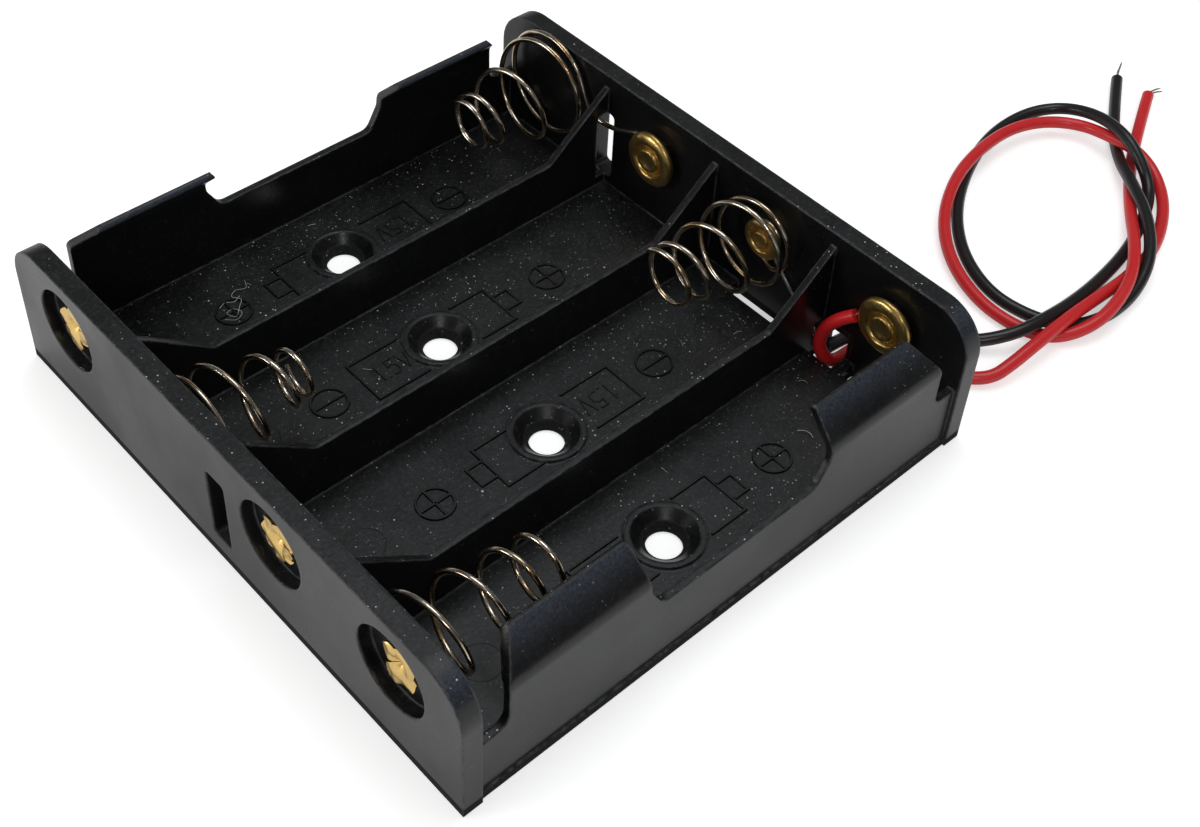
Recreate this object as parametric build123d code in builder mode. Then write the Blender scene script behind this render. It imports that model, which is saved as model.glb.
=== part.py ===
"""Open tray that holds four round cells side by side, with spring and rivet contacts and two leads.

Millimetres. The origin is at the centre of the tray's underside. X runs along the cells, towards
the end wall that the leads come out of. Y runs across the bays, and bay 1 has the largest Y.
"""

import os
from math import asin, cos, pi, radians, sin, tan

from build123d import *

os.makedirs("parts", exist_ok=True)

# Bays
bay_count = 4
bay_pitch = 15.25
rib_thickness = 0.7
contact_height = 9.5

# Tray
tray_length = 58.4
tray_height = 15.0
floor_thickness = 1.6
end_wall_thickness = 1.9
end_wall_overhang = 0.43
end_wall_corner_radius = 4.4
edge_rounding = 0.25
side_wall_thickness = 0.75
outer_bay_clearance = 7.2
plinth_height = 0.9
plinth_overhang = 0.2

# Side wall outline
lip_start_height = 11.6
lip_top_height = 14.5
lip_angle = 45.0
lip_bend_radius = 1.6
end_notch_width = 2.9
end_notch_height = 7.2
thumb_cut_width = 21.2
thumb_cut_floor_width = 17.6
thumb_cut_height = 7.9
shoulder_slope_width = 2.4

# Ribs between the bays
rib_height = 7.4
gusset_run = 7.7
gusset_height = 13.5

# Screw holes in the floor
screw_row_x = -0.3
screw_hole_diameter = 3.3
countersink_diameter = 6.1
screw_ring_diameter = 7.2
screw_ring_height = 0.25

# Rivets and their pockets in the end walls
pocket_diameter = 8.1
pocket_depth = 1.3
rivet_shank_diameter = 2.7
rivet_bore_diameter = 1.7
rivet_hole_clearance = 0.05
contact_head_diameter = 6.0
contact_head_height = 1.0
spring_head_diameter = 4.3
spring_head_height = 0.8
rivet_tail_diameter = 5.0
rivet_tail_height = 0.75
rivet_tail_wall = 0.3
rivet_tail_petals = 5
rivet_tail_slit = 0.35

# Openings beside the contacts
link_slot_width = 2.6
link_slot_bottom = 2.6
link_slot_top = 10.5
rib_notch_depth = 1.3
black_slot_depth = 1.9
black_slot_from = -3.3
black_slot_to = 2.8
exit_depth = 2.9
exit_width = 3.6
exit_height = 4.7
small_slot_width = 1.9
small_slot_from_bay = 2.0
foot_mark_height = 0.5

# Wires
spring_wire = 0.5
spring_free_length = 11.9
riveted_spring_free_length = 13.6
spring_base_radius = 5.5
spring_middle_radius = 4.2
spring_tip_radius = 2.85
link_wire = 0.45
link_groove_width = 1.1
link_groove_depth = 1.0
lead_diameter = 1.3
strand_diameter = 0.4
tip_wire = 0.36

# Worked out from the sizes above
wall_face = tray_length / 2 - end_wall_thickness
outer_bay_y = bay_pitch * (bay_count - 1) / 2
side_wall_inner_y = outer_bay_y + outer_bay_clearance
side_wall_outer_y = side_wall_inner_y + side_wall_thickness
end_wall_width = 2 * (side_wall_outer_y + end_wall_overhang)
plinth_width = 2 * (side_wall_outer_y + plinth_overhang)
rivet_web = end_wall_thickness - pocket_depth
head_stand_off = spring_wire + 0.04
LEFT, RIGHT = -1, 1
riveted_bays = {LEFT: (1, 3, 4), RIGHT: (2, 3, 4)}
spring_bays = {1: RIGHT, 2: LEFT, 3: RIGHT, 4: LEFT}
link_slots = ((RIGHT, 1), (LEFT, 2))


def bay_y(bay):
    """Y of one bay's centre line."""
    return outer_bay_y - (bay - 1) * bay_pitch


def rib_y(rib):
    """Y of the rib between bay number rib and the next one."""
    return bay_y(rib) - bay_pitch / 2


def seat_plane(side, bay):
    """Plane on an end wall's inner face at a contact, facing into the bay, with its x upwards."""
    return Plane(
        origin=(side * wall_face, bay_y(bay), contact_height), x_dir=(0, 0, 1), z_dir=(-side, 0, 0)
    )


def profile_plane(side, bay):
    """Plane through a contact's axis: x points up along the wall, y into the bay."""
    return Plane(
        origin=(side * wall_face, bay_y(bay), contact_height), x_dir=(0, 0, 1), z_dir=(0, -side, 0)
    )


# Side wall section: upright outside, then a lip that leans in over the cell
lip_rise = lip_top_height - lip_start_height
lip_lean = lip_rise * tan(radians(lip_angle))
lip_dy = side_wall_thickness * cos(radians(lip_angle))
lip_dz = side_wall_thickness * sin(radians(lip_angle))
inner_bend_height = lip_start_height - side_wall_thickness * tan(radians(lip_angle / 2))
notch_x = wall_face - end_notch_width
top_corner_x = notch_x - shoulder_slope_width
cut_top_x = thumb_cut_width / 2
cut_floor_x = thumb_cut_floor_width / 2
outline_top = lip_top_height + 0.2
wall_tuck = 0.6


def side_wall_outline():
    """Outline of a side wall seen from its side, notched at both ends and cut low in the middle."""
    end_x = wall_face + wall_tuck
    half = [
        (end_x, end_notch_height - 0.3),
        (notch_x, end_notch_height),
        (notch_x, lip_start_height),
        (top_corner_x, outline_top),
        (cut_top_x, outline_top),
        (cut_top_x - 0.4, thumb_cut_height + 2.4),
        (cut_floor_x, thumb_cut_height),
    ]
    rounding = [0, 1.1, 1.4, 1.3, 1.0, 1.4, 1.2]
    corners = [(end_x, 0.0), *half, *[(-x, z) for x, z in reversed(half)], (-end_x, 0.0)]
    radii = [0, *rounding, *reversed(rounding), 0]
    return corners, radii


with BuildPart() as tray:
    # Side walls, as one section along the tray, trimmed to the outline above
    with BuildSketch(Plane.YZ.offset(-wall_face - wall_tuck)) as wall_section:
        with BuildLine():
            FilletPolyline(
                (side_wall_inner_y, 0),
                (side_wall_outer_y, 0),
                (side_wall_outer_y, lip_start_height),
                (side_wall_outer_y - lip_lean, lip_top_height),
                (side_wall_outer_y - lip_lean - lip_dy, lip_top_height - lip_dz),
                (side_wall_inner_y, inner_bend_height),
                radius=[0, 0, lip_bend_radius, 0.3, 0.3, lip_bend_radius - side_wall_thickness / 2],
                close=True,
            )
        make_face()
        mirror(about=Plane.YZ)
    extrude(amount=2 * (wall_face + wall_tuck))
    outline_corners, outline_radii = side_wall_outline()
    with BuildSketch(Plane.XZ) as outline:
        with BuildLine():
            FilletPolyline(*outline_corners, radius=outline_radii, close=True)
        make_face()
    extrude(amount=end_wall_width, both=True, mode=Mode.INTERSECT)

    # End walls
    for side in (LEFT, RIGHT):
        with BuildSketch(Plane.YZ.offset(side * wall_face)) as end_wall:
            with Locations((0, tray_height / 2)):
                Rectangle(end_wall_width, tray_height)
            fillet(end_wall.vertices().group_by(Axis.Y)[-1], radius=end_wall_corner_radius)
        extrude(amount=side * end_wall_thickness)

    # Floor, with a plinth that stands out a little at the foot of the side walls
    with BuildSketch():
        Rectangle(2 * wall_face + wall_tuck, 2 * side_wall_inner_y + side_wall_thickness)
    extrude(amount=floor_thickness)
    with BuildSketch():
        Rectangle(2 * wall_face + wall_tuck, plinth_width)
    extrude(amount=plinth_height)

    # Ribs, low in the middle and rising to both end walls
    for rib in range(1, bay_count):
        with BuildSketch(Plane.XZ.offset(-rib_y(rib))) as rib_profile:
            with BuildLine():
                end_x = wall_face + wall_tuck / 2
                kink_x = wall_face - gusset_run
                slope = (gusset_height - rib_height) / gusset_run
                end_z = gusset_height + slope * wall_tuck / 2
                FilletPolyline(
                    (-end_x, floor_thickness / 2),
                    (-end_x, end_z),
                    (-kink_x, rib_height),
                    (kink_x, rib_height),
                    (end_x, end_z),
                    (end_x, floor_thickness / 2),
                    radius=[0, 0, 1.0, 1.0, 0, 0],
                    close=True,
                )
            make_face()
        extrude(amount=rib_thickness / 2, both=True)

    # Screw holes, each in a low ring
    for bay in range(1, bay_count + 1):
        with BuildSketch(Plane.XY.offset(floor_thickness / 2)):
            with Locations((screw_row_x, bay_y(bay))):
                Circle(screw_ring_diameter / 2)
        extrude(amount=floor_thickness / 2 + screw_ring_height)
    with Locations(
        *[
            (screw_row_x, bay_y(bay), floor_thickness + screw_ring_height)
            for bay in range(1, bay_count + 1)
        ]
    ):
        CounterSinkHole(
            radius=screw_hole_diameter / 2,
            counter_sink_radius=countersink_diameter / 2,
            depth=floor_thickness + screw_ring_height,
            counter_sink_angle=90,
        )

    # Rivet pockets on the outside of the end walls, and the rivet holes through what is left
    for side, bays in riveted_bays.items():
        for bay in bays:
            outside = Plane(
                origin=(side * tray_length / 2, bay_y(bay), contact_height),
                x_dir=(0, 0, 1),
                z_dir=(side, 0, 0),
            )
            with BuildSketch(outside):
                Circle(pocket_diameter / 2)
            extrude(amount=-pocket_depth, mode=Mode.SUBTRACT)
            with BuildSketch(outside):
                Circle(rivet_shank_diameter / 2 + rivet_hole_clearance)
            extrude(amount=-end_wall_thickness, mode=Mode.SUBTRACT)

    # Slots where a spring's tail crosses a rib beside an end wall
    for side, rib in link_slots:
        with BuildSketch(Plane.YZ.offset(side * tray_length / 2)) as link_slot:
            with Locations((rib_y(rib), (link_slot_bottom + link_slot_top) / 2)):
                RectangleRounded(link_slot_width, link_slot_top - link_slot_bottom, 0.5)
        extrude(amount=-side * (end_wall_thickness + rib_notch_depth), mode=Mode.SUBTRACT)

    # Floor slots at the foot of the right end wall
    with BuildSketch() as floor_slots:
        with Locations(
            (wall_face - black_slot_depth / 2, bay_y(3) + (black_slot_from + black_slot_to) / 2)
        ):
            Rectangle(black_slot_depth, black_slot_to - black_slot_from)
        with Locations((wall_face - black_slot_depth / 2, bay_y(4) + small_slot_from_bay)):
            Rectangle(black_slot_depth, small_slot_width)
    extrude(amount=floor_thickness + 0.1, mode=Mode.SUBTRACT)

    # Corner where both leads leave: through the floor, the rib's foot and the end wall's foot
    exit_y = rib_y(3) - rib_thickness / 2 - exit_width / 2
    with BuildSketch():
        with Locations((wall_face - exit_depth / 2, exit_y)):
            Rectangle(exit_depth, exit_width)
    extrude(amount=floor_thickness + 0.1, mode=Mode.SUBTRACT)
    with BuildSketch(Plane.YZ.offset(wall_face - 0.05)):
        with Locations((exit_y, exit_height / 2)):
            Rectangle(exit_width, exit_height)
    extrude(amount=end_wall_thickness + 0.1, mode=Mode.SUBTRACT)
    with BuildSketch(Plane.YZ.offset(wall_face)):
        with Locations((rib_y(3), floor_thickness + (exit_height - floor_thickness) / 2)):
            Rectangle(rib_thickness + 0.2, exit_height - floor_thickness)
    extrude(amount=-rib_notch_depth, mode=Mode.SUBTRACT)

    # Groove under the floor for the link wire, with a slot up into bays 1 and 4
    groove_x = -wall_face + link_groove_width / 2
    with BuildSketch():
        with Locations((groove_x, 0)):
            Rectangle(link_groove_width, 2 * outer_bay_y + link_groove_width)
    extrude(amount=link_groove_depth, mode=Mode.SUBTRACT)
    with BuildSketch():
        with Locations((groove_x, outer_bay_y), (groove_x, -outer_bay_y)):
            Rectangle(link_groove_width, link_groove_width)
    extrude(amount=floor_thickness + 0.1, mode=Mode.SUBTRACT)
tray.part.label = "tray"
export_step(tray.part, "parts/tray.step")


def rivet(side, bay, head_diameter, head_height):
    """Hollow rivet: domed contact head inside the bay, split tail spread in the outer pocket."""
    head_r = head_diameter / 2
    shank_r = rivet_shank_diameter / 2
    tail_r = rivet_tail_diameter / 2
    bore_r = rivet_bore_diameter / 2
    boss_r = head_r * 0.5
    groove_r = head_r * 0.62
    crown_r = head_r * 0.8
    rim_h = head_stand_off + head_height * 0.3
    groove_h = head_stand_off + head_height * 0.4
    top_h = head_stand_off + head_height
    web_h = -rivet_web - 0.02
    flange_h = web_h - 0.1
    end_h = web_h - rivet_tail_height
    # Dome of the boss: a cap of a sphere whose centre is on the rivet's axis
    dome_rise = head_height * 0.3
    dome_radius = (boss_r**2 + dome_rise**2) / (2 * dome_rise)
    half_angle = asin(boss_r / dome_radius) / 2
    dome_middle = (dome_radius * sin(half_angle), top_h - dome_radius * (1 - cos(half_angle)))
    with BuildPart() as one_rivet:
        with BuildSketch(profile_plane(side, bay)):
            with BuildLine():
                body = Polyline(
                    (0, top_h),
                    (0, web_h),
                    (bore_r, web_h),
                    (bore_r, end_h),
                    (shank_r - 0.25, end_h),
                    (shank_r + 0.2, flange_h - rivet_tail_wall),
                    (tail_r, flange_h - rivet_tail_wall),
                    (tail_r, flange_h),
                    (shank_r, web_h),
                    (shank_r, head_stand_off),
                    (head_r, head_stand_off),
                    (head_r, rim_h),
                )
                crown = ThreePointArc(body @ 1, (crown_r, top_h - 0.02), (groove_r, groove_h))
                groove = Line(crown @ 1, (boss_r, groove_h))
                wall = Line(groove @ 1, (boss_r, top_h - dome_rise))
                ThreePointArc(wall @ 1, dome_middle, (0, top_h))
            make_face()
        revolve(axis=Axis((side * wall_face, bay_y(bay), contact_height), (-side, 0, 0)))
        # Slits that leave the tail as petals
        slit_length = tail_r - shank_r - 0.3
        with BuildSketch(seat_plane(side, bay).offset(web_h)):
            with PolarLocations(tail_r, rivet_tail_petals):
                Rectangle(2 * slit_length, rivet_tail_slit)
        extrude(amount=-rivet_tail_height - 0.1, mode=Mode.SUBTRACT)
    return one_rivet


side_names = {LEFT: "left", RIGHT: "right"}
for side, bays in riveted_bays.items():
    for bay in bays:
        holds_spring = spring_bays[bay] == side
        diameter = spring_head_diameter if holds_spring else contact_head_diameter
        height = spring_head_height if holds_spring else contact_head_height
        fitted = rivet(side, bay, diameter, height)
        fitted.part.label = f"rivet_{side_names[side]}_{bay}"
        export_step(fitted.part, f"parts/{fitted.part.label}.step")


# Springs. Each coil's depth from its wall and its radius are given where it passes the top, with
# the turn counted in degrees from the first of those passes.
wire_depth = head_stand_off / 2
coil_stations = (
    (-400.0, 0.8, spring_base_radius),
    (0.0, 0.8, spring_base_radius),
    (360.0, 2.2, spring_base_radius),
    (720.0, 6.4, spring_middle_radius),
    (1080.0, 10.2, spring_tip_radius),
    (1440.0, 11.55, spring_tip_radius),
    (1485.0, spring_free_length - spring_wire / 2, spring_tip_radius),
)
coil_step = 45
eye_radius = rivet_shank_diameter / 2 + spring_wire / 2 + 0.1
spiral_turn = 130.0


def coil_at(turn, stretch):
    """Depth and radius of the wire at one turn, between the two stations on either side of it."""
    for (t0, d0, r0), (t1, d1, r1) in zip(coil_stations[:-1], coil_stations[1:]):
        if turn <= t1:
            part_way = (turn - t0) / (t1 - t0)
            ease = (1 - cos(pi * part_way)) / 2
            return (d0 + (d1 - d0) * part_way) * stretch, r0 + (r1 - r0) * ease
    return coil_stations[-1][1] * stretch, coil_stations[-1][2]


def wall_point(side, y, z, depth):
    """Point at a depth into the bay from an end wall's inner face."""
    return Vector(side * (wall_face - depth), y, z)


def coil_points(side, bay, start_turn, free_length, tip_rise):
    """Wire points from a turn in the base coil to the free tip, which may sit high or low."""
    stretch = free_length / spring_free_length
    last_turn = coil_stations[-1][0]
    count = int((last_turn - start_turn) // coil_step)
    turns = [last_turn - coil_step * k for k in range(count + 1)][::-1]
    points = []
    for turn in turns:
        depth, radius = coil_at(turn, stretch)
        angle = radians(90 - side * turn)
        rise = tip_rise * (depth / free_length) ** 1.5
        points.append(
            wall_point(
                side,
                bay_y(bay) + radius * cos(angle),
                contact_height + rise + radius * sin(angle),
                depth,
            )
        )
    return points


def eye_points(side, bay, leave_angle):
    """Wire points of an eye round a rivet's shank that opens out into the base coil."""
    points = []
    for k in range(6):
        angle = radians(leave_angle + side * (250 - 50 * k))
        y = bay_y(bay) + eye_radius * cos(angle)
        points.append(wall_point(side, y, contact_height + eye_radius * sin(angle), wire_depth))
    base_depth = coil_stations[0][1]
    for turn in (32, 64, 98):
        part_way = turn / spiral_turn
        radius = eye_radius + (spring_base_radius - eye_radius) * sin(part_way * pi / 2)
        climb = min(1.0, max(0.0, (turn - 20) / 50))
        depth = wire_depth + (base_depth - wire_depth) * climb
        angle = radians(leave_angle - side * turn)
        y = bay_y(bay) + radius * cos(angle)
        points.append(wall_point(side, y, contact_height + radius * sin(angle), depth))
    return points


def hook_points(side, bay, tail):
    """Wire points of an eye round the next bay's rivet and the tail that crosses the rib."""
    y0 = bay_y(bay + 1)
    points = []
    for k in range(6):
        angle = radians(330 - 45 * k)
        y = y0 + eye_radius * cos(angle)
        points.append(wall_point(side, y, contact_height + eye_radius * sin(angle), wire_depth))
    return points + [wall_point(side, y, z, depth) for y, z, depth in tail]


def swept_wire(points, diameter):
    """Round wire swept along a smooth line through the points."""
    with BuildPart() as wire:
        with BuildLine() as centre_line:
            Spline(*points)
        with BuildSketch(Plane(origin=centre_line.line @ 0, z_dir=centre_line.line % 0)):
            Circle(diameter / 2)
        sweep(path=centre_line.line, is_frenet=True)
    return wire


# Tail of the bay 1 spring: level across the rib, then up into the coil's near side
tail_1 = (
    (bay_y(2) + 2.0, contact_height + 1.55, wire_depth),
    (bay_y(2) + 4.0, contact_height + 0.75, wire_depth),
    (rib_y(1) - 1.6, contact_height - 0.1, wire_depth),
    (rib_y(1), contact_height - 0.3, 0.32),
    (rib_y(1) + 1.35, contact_height - 0.1, 0.42),
    (bay_y(1) - spring_base_radius - 0.02, contact_height + 0.95, 0.6),
)
# Tail of the bay 2 spring: slants across the rib and leads straight into the coil's underside
tail_2 = (
    (bay_y(3) + 2.0, contact_height + 1.3, wire_depth),
    (bay_y(3) + 4.2, contact_height + 0.2, wire_depth),
    (rib_y(2) - 1.5, contact_height - 1.1, wire_depth),
    (rib_y(2), contact_height - 2.05, 0.34),
    (rib_y(2) + 1.8, contact_height - 3.2, 0.45),
    (rib_y(2) + 3.2, contact_height - 4.05, 0.55),
)
spring_lines = {
    1: hook_points(RIGHT, 1, tail_1) + coil_points(RIGHT, 1, -52, spring_free_length, 0.0),
    2: hook_points(LEFT, 2, tail_2) + coil_points(LEFT, 2, -195, spring_free_length, -2.5),
    3: eye_points(RIGHT, 3, 300) + coil_points(RIGHT, 3, -90, riveted_spring_free_length, 2.6),
    4: eye_points(LEFT, 4, 180) + coil_points(LEFT, 4, -130, riveted_spring_free_length, 0.0),
}
for bay, points in spring_lines.items():
    spring = swept_wire(points, spring_wire)
    spring.part.label = f"spring_{bay}"
    export_step(spring.part, f"parts/{spring.part.label}.step")


# Wires and leads. Each route is a list of points joined by straight runs and tangent arcs.
def round_wire(label, route, diameter):
    """Solid round wire along a route, whose volume is compared with its length."""
    points = [Vector(*point) for point in route]
    radii = [0.0]
    for before, here, after in zip(points[:-2], points[1:-1], points[2:]):
        first, second = here - before, after - here
        half_turn = radians(first.get_angle(second)) / 2
        radii.append(0.45 * min(first.length, second.length) / tan(half_turn))
    radii.append(0.0)
    with BuildPart() as wire:
        with BuildLine() as line:
            FilletPolyline(*points, radius=radii[1:-1])
        with BuildSketch(Plane(origin=points[0], z_dir=points[1] - points[0])):
            Circle(diameter / 2)
        sweep(path=line.line)
    length = sum(edge.length for edge in line.edges())
    filled = wire.part.volume / (length * pi * diameter**2 / 4)
    corners = " ".join(f"{radius:.1f}" for radius in radii[1:-1])
    print(f"{label}: length {length:.1f}, filled {filled:.3f}, lowest {wire.part.bounding_box().min.Z:.3f}")
    print(f"  corner radii {corners}")
    wire.part.label = label
    return wire


def along(start, towards, distance):
    """Point at a distance from start on the line to another point."""
    a, b = Vector(*start), Vector(*towards)
    point = a + (b - a).normalized() * distance
    return (point.X, point.Y, point.Z)


# Black lead: out through the exit corner, a long loop over the ground and back over itself
black_route = [
    (27.7, -16.3, 0.85),
    (31.0, -17.6, 0.68),
    (34.6, -21.3, 0.67),
    (38.9, -24.95, 0.97),
    (42.04, -27.45, 1.99),
    (45.67, -28.23, 2.29),
    (50.67, -28.27, 1.6),
    (56.92, -27.73, 0.85),
    (63.41, -26.64, 0.66),
    (69.4, -24.45, 0.73),
    (72.2, -22.62, 1.35),
    (73.38, -19.95, 3.0),
    (74.31, -17.2, 3.97),
    (75.8, -12.82, 3.18),
    (75.44, -8.56, 1.89),
    (71.89, -6.1, 1.23),
    (65.84, -5.86, 0.85),
    (59.16, -8.05, 0.66),
    (53.15, -11.52, 0.66),
    (48.54, -16.14, 0.66),
    (46.13, -21.4, 0.66),
    (46.41, -25.91, 0.66),
    (48.13, -29.5, 0.66),
    (51.99, -31.29, 0.66),
    (56.96, -31.41, 1.13),
    (61.84, -29.76, 2.18),
    (66.33, -26.06, 2.65),
    (69.54, -21.89, 2.58),
    (73.56, -17.64, 1.14),
    (78.53, -13.56, 0.66),
    (86.35, -8.69, 0.66),
]
# Red lead: from the last bay's rivet, down through the exit corner, then beside the black lead
red_route = [
    (26.1, -19.15, 9.05),
    (25.05, -18.25, 7.6),
    (24.7, -17.4, 5.4),
    (25.7, -17.5, 2.52),
    (27.7, -17.72, 0.93),
    (30.3, -19.0, 0.66),
    (32.0, -23.2, 0.66),
    (34.0, -27.6, 0.66),
    (36.6, -29.15, 0.9),
    (39.15, -29.56, 1.49),
    (42.49, -29.71, 2.12),
    (47.05, -29.65, 2.33),
    (52.67, -29.44, 1.59),
    (58.22, -29.45, 0.99),
    (64.55, -28.7, 0.73),
    (70.57, -25.88, 0.81),
    (74.2, -22.4, 1.2),
    (74.89, -19.16, 2.38),
    (74.61, -16.08, 2.46),
    (74.81, -11.83, 1.67),
    (72.24, -8.68, 1.55),
    (67.41, -7.35, 2.07),
    (61.42, -7.59, 2.24),
    (55.93, -8.8, 1.83),
    (50.43, -11.81, 1.29),
    (46.4, -16.22, 0.99),
    (44.24, -21.47, 0.77),
    (44.21, -25.88, 0.66),
    (45.37, -29.15, 0.66),
    (47.81, -31.04, 1.2),
    (51.47, -31.83, 2.07),
    (57.03, -30.57, 2.43),
    (61.83, -27.69, 2.42),
    (67.01, -23.71, 1.41),
    (72.21, -20.19, 0.66),
    (77.92, -16.92, 0.66),
    (86.54, -12.82, 0.72),
]
# Bare wires at both ends of each lead, and the link wire in its groove under the floor
wall_x = wall_face - wire_depth
black_eye_y = bay_y(3) - eye_radius * sin(radians(35))
black_eye_z = contact_height - eye_radius * cos(radians(35))
black_strand_route = [
    (wall_x, black_eye_y, black_eye_z),
    (wall_x, black_eye_y - 2.6, black_eye_z - 2.6),
    (wall_x, rib_y(3) + 1.5, 3.7),
    (wall_x, rib_y(3) - 0.2, 2.4),
    along(black_route[0], black_route[1], -0.75),
    along(black_route[0], black_route[1], -0.03),
]
red_strand_route = [
    along(red_route[0], red_route[1], -0.03),
    along(red_route[0], red_route[1], -0.55),
    (wall_x, -19.75, 9.7),
    (wall_x, -21.3, 10.75),
    (wall_x, bay_y(4), contact_height + eye_radius),
    (wall_x, bay_y(4) - eye_radius * 0.8, contact_height + eye_radius * 0.6),
]
black_tip_route = [
    along(black_route[-1], black_route[-2], -0.03),
    along(black_route[-1], black_route[-2], -1.3),
    (89.8, -7.0, 0.45),
]
red_tip_route = [
    along(red_route[-1], red_route[-2], -0.03),
    along(red_route[-1], red_route[-2], -0.5),
    (89.1, -12.95, 0.5),
]
link_route = [
    (-wall_x, outer_bay_y, contact_height - eye_radius),
    (-wall_x, outer_bay_y, link_groove_depth / 2),
    (-wall_x, -outer_bay_y, link_groove_depth / 2),
    (-wall_x, -outer_bay_y, contact_height - eye_radius),
]
for label, route, diameter in (
    ("black_lead", black_route, lead_diameter),
    ("red_lead", red_route, lead_diameter),
    ("black_strands", black_strand_route, strand_diameter),
    ("red_strands", red_strand_route, strand_diameter),
    ("black_tip", black_tip_route, tip_wire),
    ("red_tip", red_tip_route, tip_wire),
):
    cord = round_wire(label, route, diameter)
    export_step(cord.part, f"parts/{label}.step")

with BuildPart() as link:
    with BuildLine() as link_line:
        FilletPolyline(*link_route, radius=1.0)
    with BuildSketch(Plane(origin=link_route[0], z_dir=(0, 0, -1))):
        Circle(link_wire / 2)
    sweep(path=link_line.line)
link.part.label = "link_wire"
export_step(link.part, "parts/link_wire.step")
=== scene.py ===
"""Open four-bay cell tray with spring and rivet contacts and two leads, on a pale studio floor."""

import logging
import math
import random
from dataclasses import dataclass, field
from enum import Enum
from typing import Callable, Iterable, Optional, Sequence, Union

import bpy
from mathutils import Matrix, Vector, noise


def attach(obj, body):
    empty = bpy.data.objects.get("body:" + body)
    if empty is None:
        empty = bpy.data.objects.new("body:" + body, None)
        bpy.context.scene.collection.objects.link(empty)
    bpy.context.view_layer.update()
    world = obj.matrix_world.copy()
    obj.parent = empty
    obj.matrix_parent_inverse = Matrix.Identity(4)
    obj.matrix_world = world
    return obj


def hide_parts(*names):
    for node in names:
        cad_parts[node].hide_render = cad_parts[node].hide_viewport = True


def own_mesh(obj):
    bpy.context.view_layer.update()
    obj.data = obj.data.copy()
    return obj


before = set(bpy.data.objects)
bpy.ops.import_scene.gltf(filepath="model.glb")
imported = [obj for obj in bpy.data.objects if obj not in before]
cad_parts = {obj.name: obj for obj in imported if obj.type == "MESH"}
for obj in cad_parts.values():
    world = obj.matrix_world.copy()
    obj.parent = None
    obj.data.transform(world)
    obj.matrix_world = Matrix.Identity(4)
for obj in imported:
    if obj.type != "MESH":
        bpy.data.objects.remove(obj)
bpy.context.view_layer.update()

log = logging.getLogger("cell_tray")
MM = 0.001
BODY = "holder"
Colour = tuple[float, float, float]
Point = tuple[float, float, float]
Radius = Union[float, Callable[[float], float]]
Value = Union["Signal", float]


class Side(Enum):
    """End wall of the tray, by the sign of its X."""

    LEFT = -1
    RIGHT = 1


class Sign(Enum):
    """Polarity mark moulded in a bay floor."""

    PLUS = "plus"
    MINUS = "minus"


@dataclass(frozen=True)
class Layout:
    """Sizes in millimetres that the tray's pieces share."""

    pitch: float = 15.25
    wall: float = 27.3
    contact_height: float = 9.5
    floor: float = 1.6
    bays: tuple[int, ...] = (1, 2, 3, 4)

    def bay_y(self, bay: int) -> float:
        """Y of a bay's centre line."""
        return (2.5 - bay) * self.pitch

    def on_wall(self, side: Side, y: float, z: float, depth: float) -> Vector:
        """Point at a depth into a bay from the inside of an end wall."""
        return Vector((side.value * (self.wall - depth), y, z))

    def on_floor(self, x: float, y: float, lift: float = 0.0) -> Vector:
        """Point on a bay floor, or lifted off it."""
        return Vector((x, y, self.floor + lift))


LAYOUT = Layout()


# ---- Shader maths and materials


class Signal:
    """One output socket of a material's nodes, used as a value in ordinary expressions."""

    def __init__(self, nodes: "Nodes", socket: bpy.types.NodeSocket) -> None:
        """Keeps the socket and the node tree that it belongs to."""
        self.nodes = nodes
        self.socket = socket

    def _join(self, operation: str, first: Value, second: Value) -> "Signal":
        """Result of one Math node that is added for the operation."""
        return self.nodes.add("ShaderNodeMath", {"operation": operation}, {0: first, 1: second})

    def __add__(self, other: Value) -> "Signal":
        """Sum."""
        return self._join("ADD", self, other)

    __radd__ = __add__

    def __sub__(self, other: Value) -> "Signal":
        """Difference."""
        return self._join("SUBTRACT", self, other)

    def __rsub__(self, other: Value) -> "Signal":
        """Difference, with this signal taken away."""
        return self._join("SUBTRACT", other, self)

    def __mul__(self, other: Value) -> "Signal":
        """Product."""
        return self._join("MULTIPLY", self, other)

    __rmul__ = __mul__

    def __gt__(self, other: Value) -> "Signal":
        """1 where this signal is the larger, else 0."""
        return self._join("GREATER_THAN", self, other)

    def __lt__(self, other: Value) -> "Signal":
        """1 where this signal is the smaller, else 0."""
        return self._join("LESS_THAN", self, other)

    def ramp(self, low: float, high: float) -> "Signal":
        """Smooth step from 0 at low to 1 at high, which falls where low is above high."""
        inputs = {"Value": self, "From Min": low, "From Max": high}
        return self.nodes.add("ShaderNodeMapRange", {"interpolation_type": "SMOOTHSTEP"}, inputs)


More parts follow.
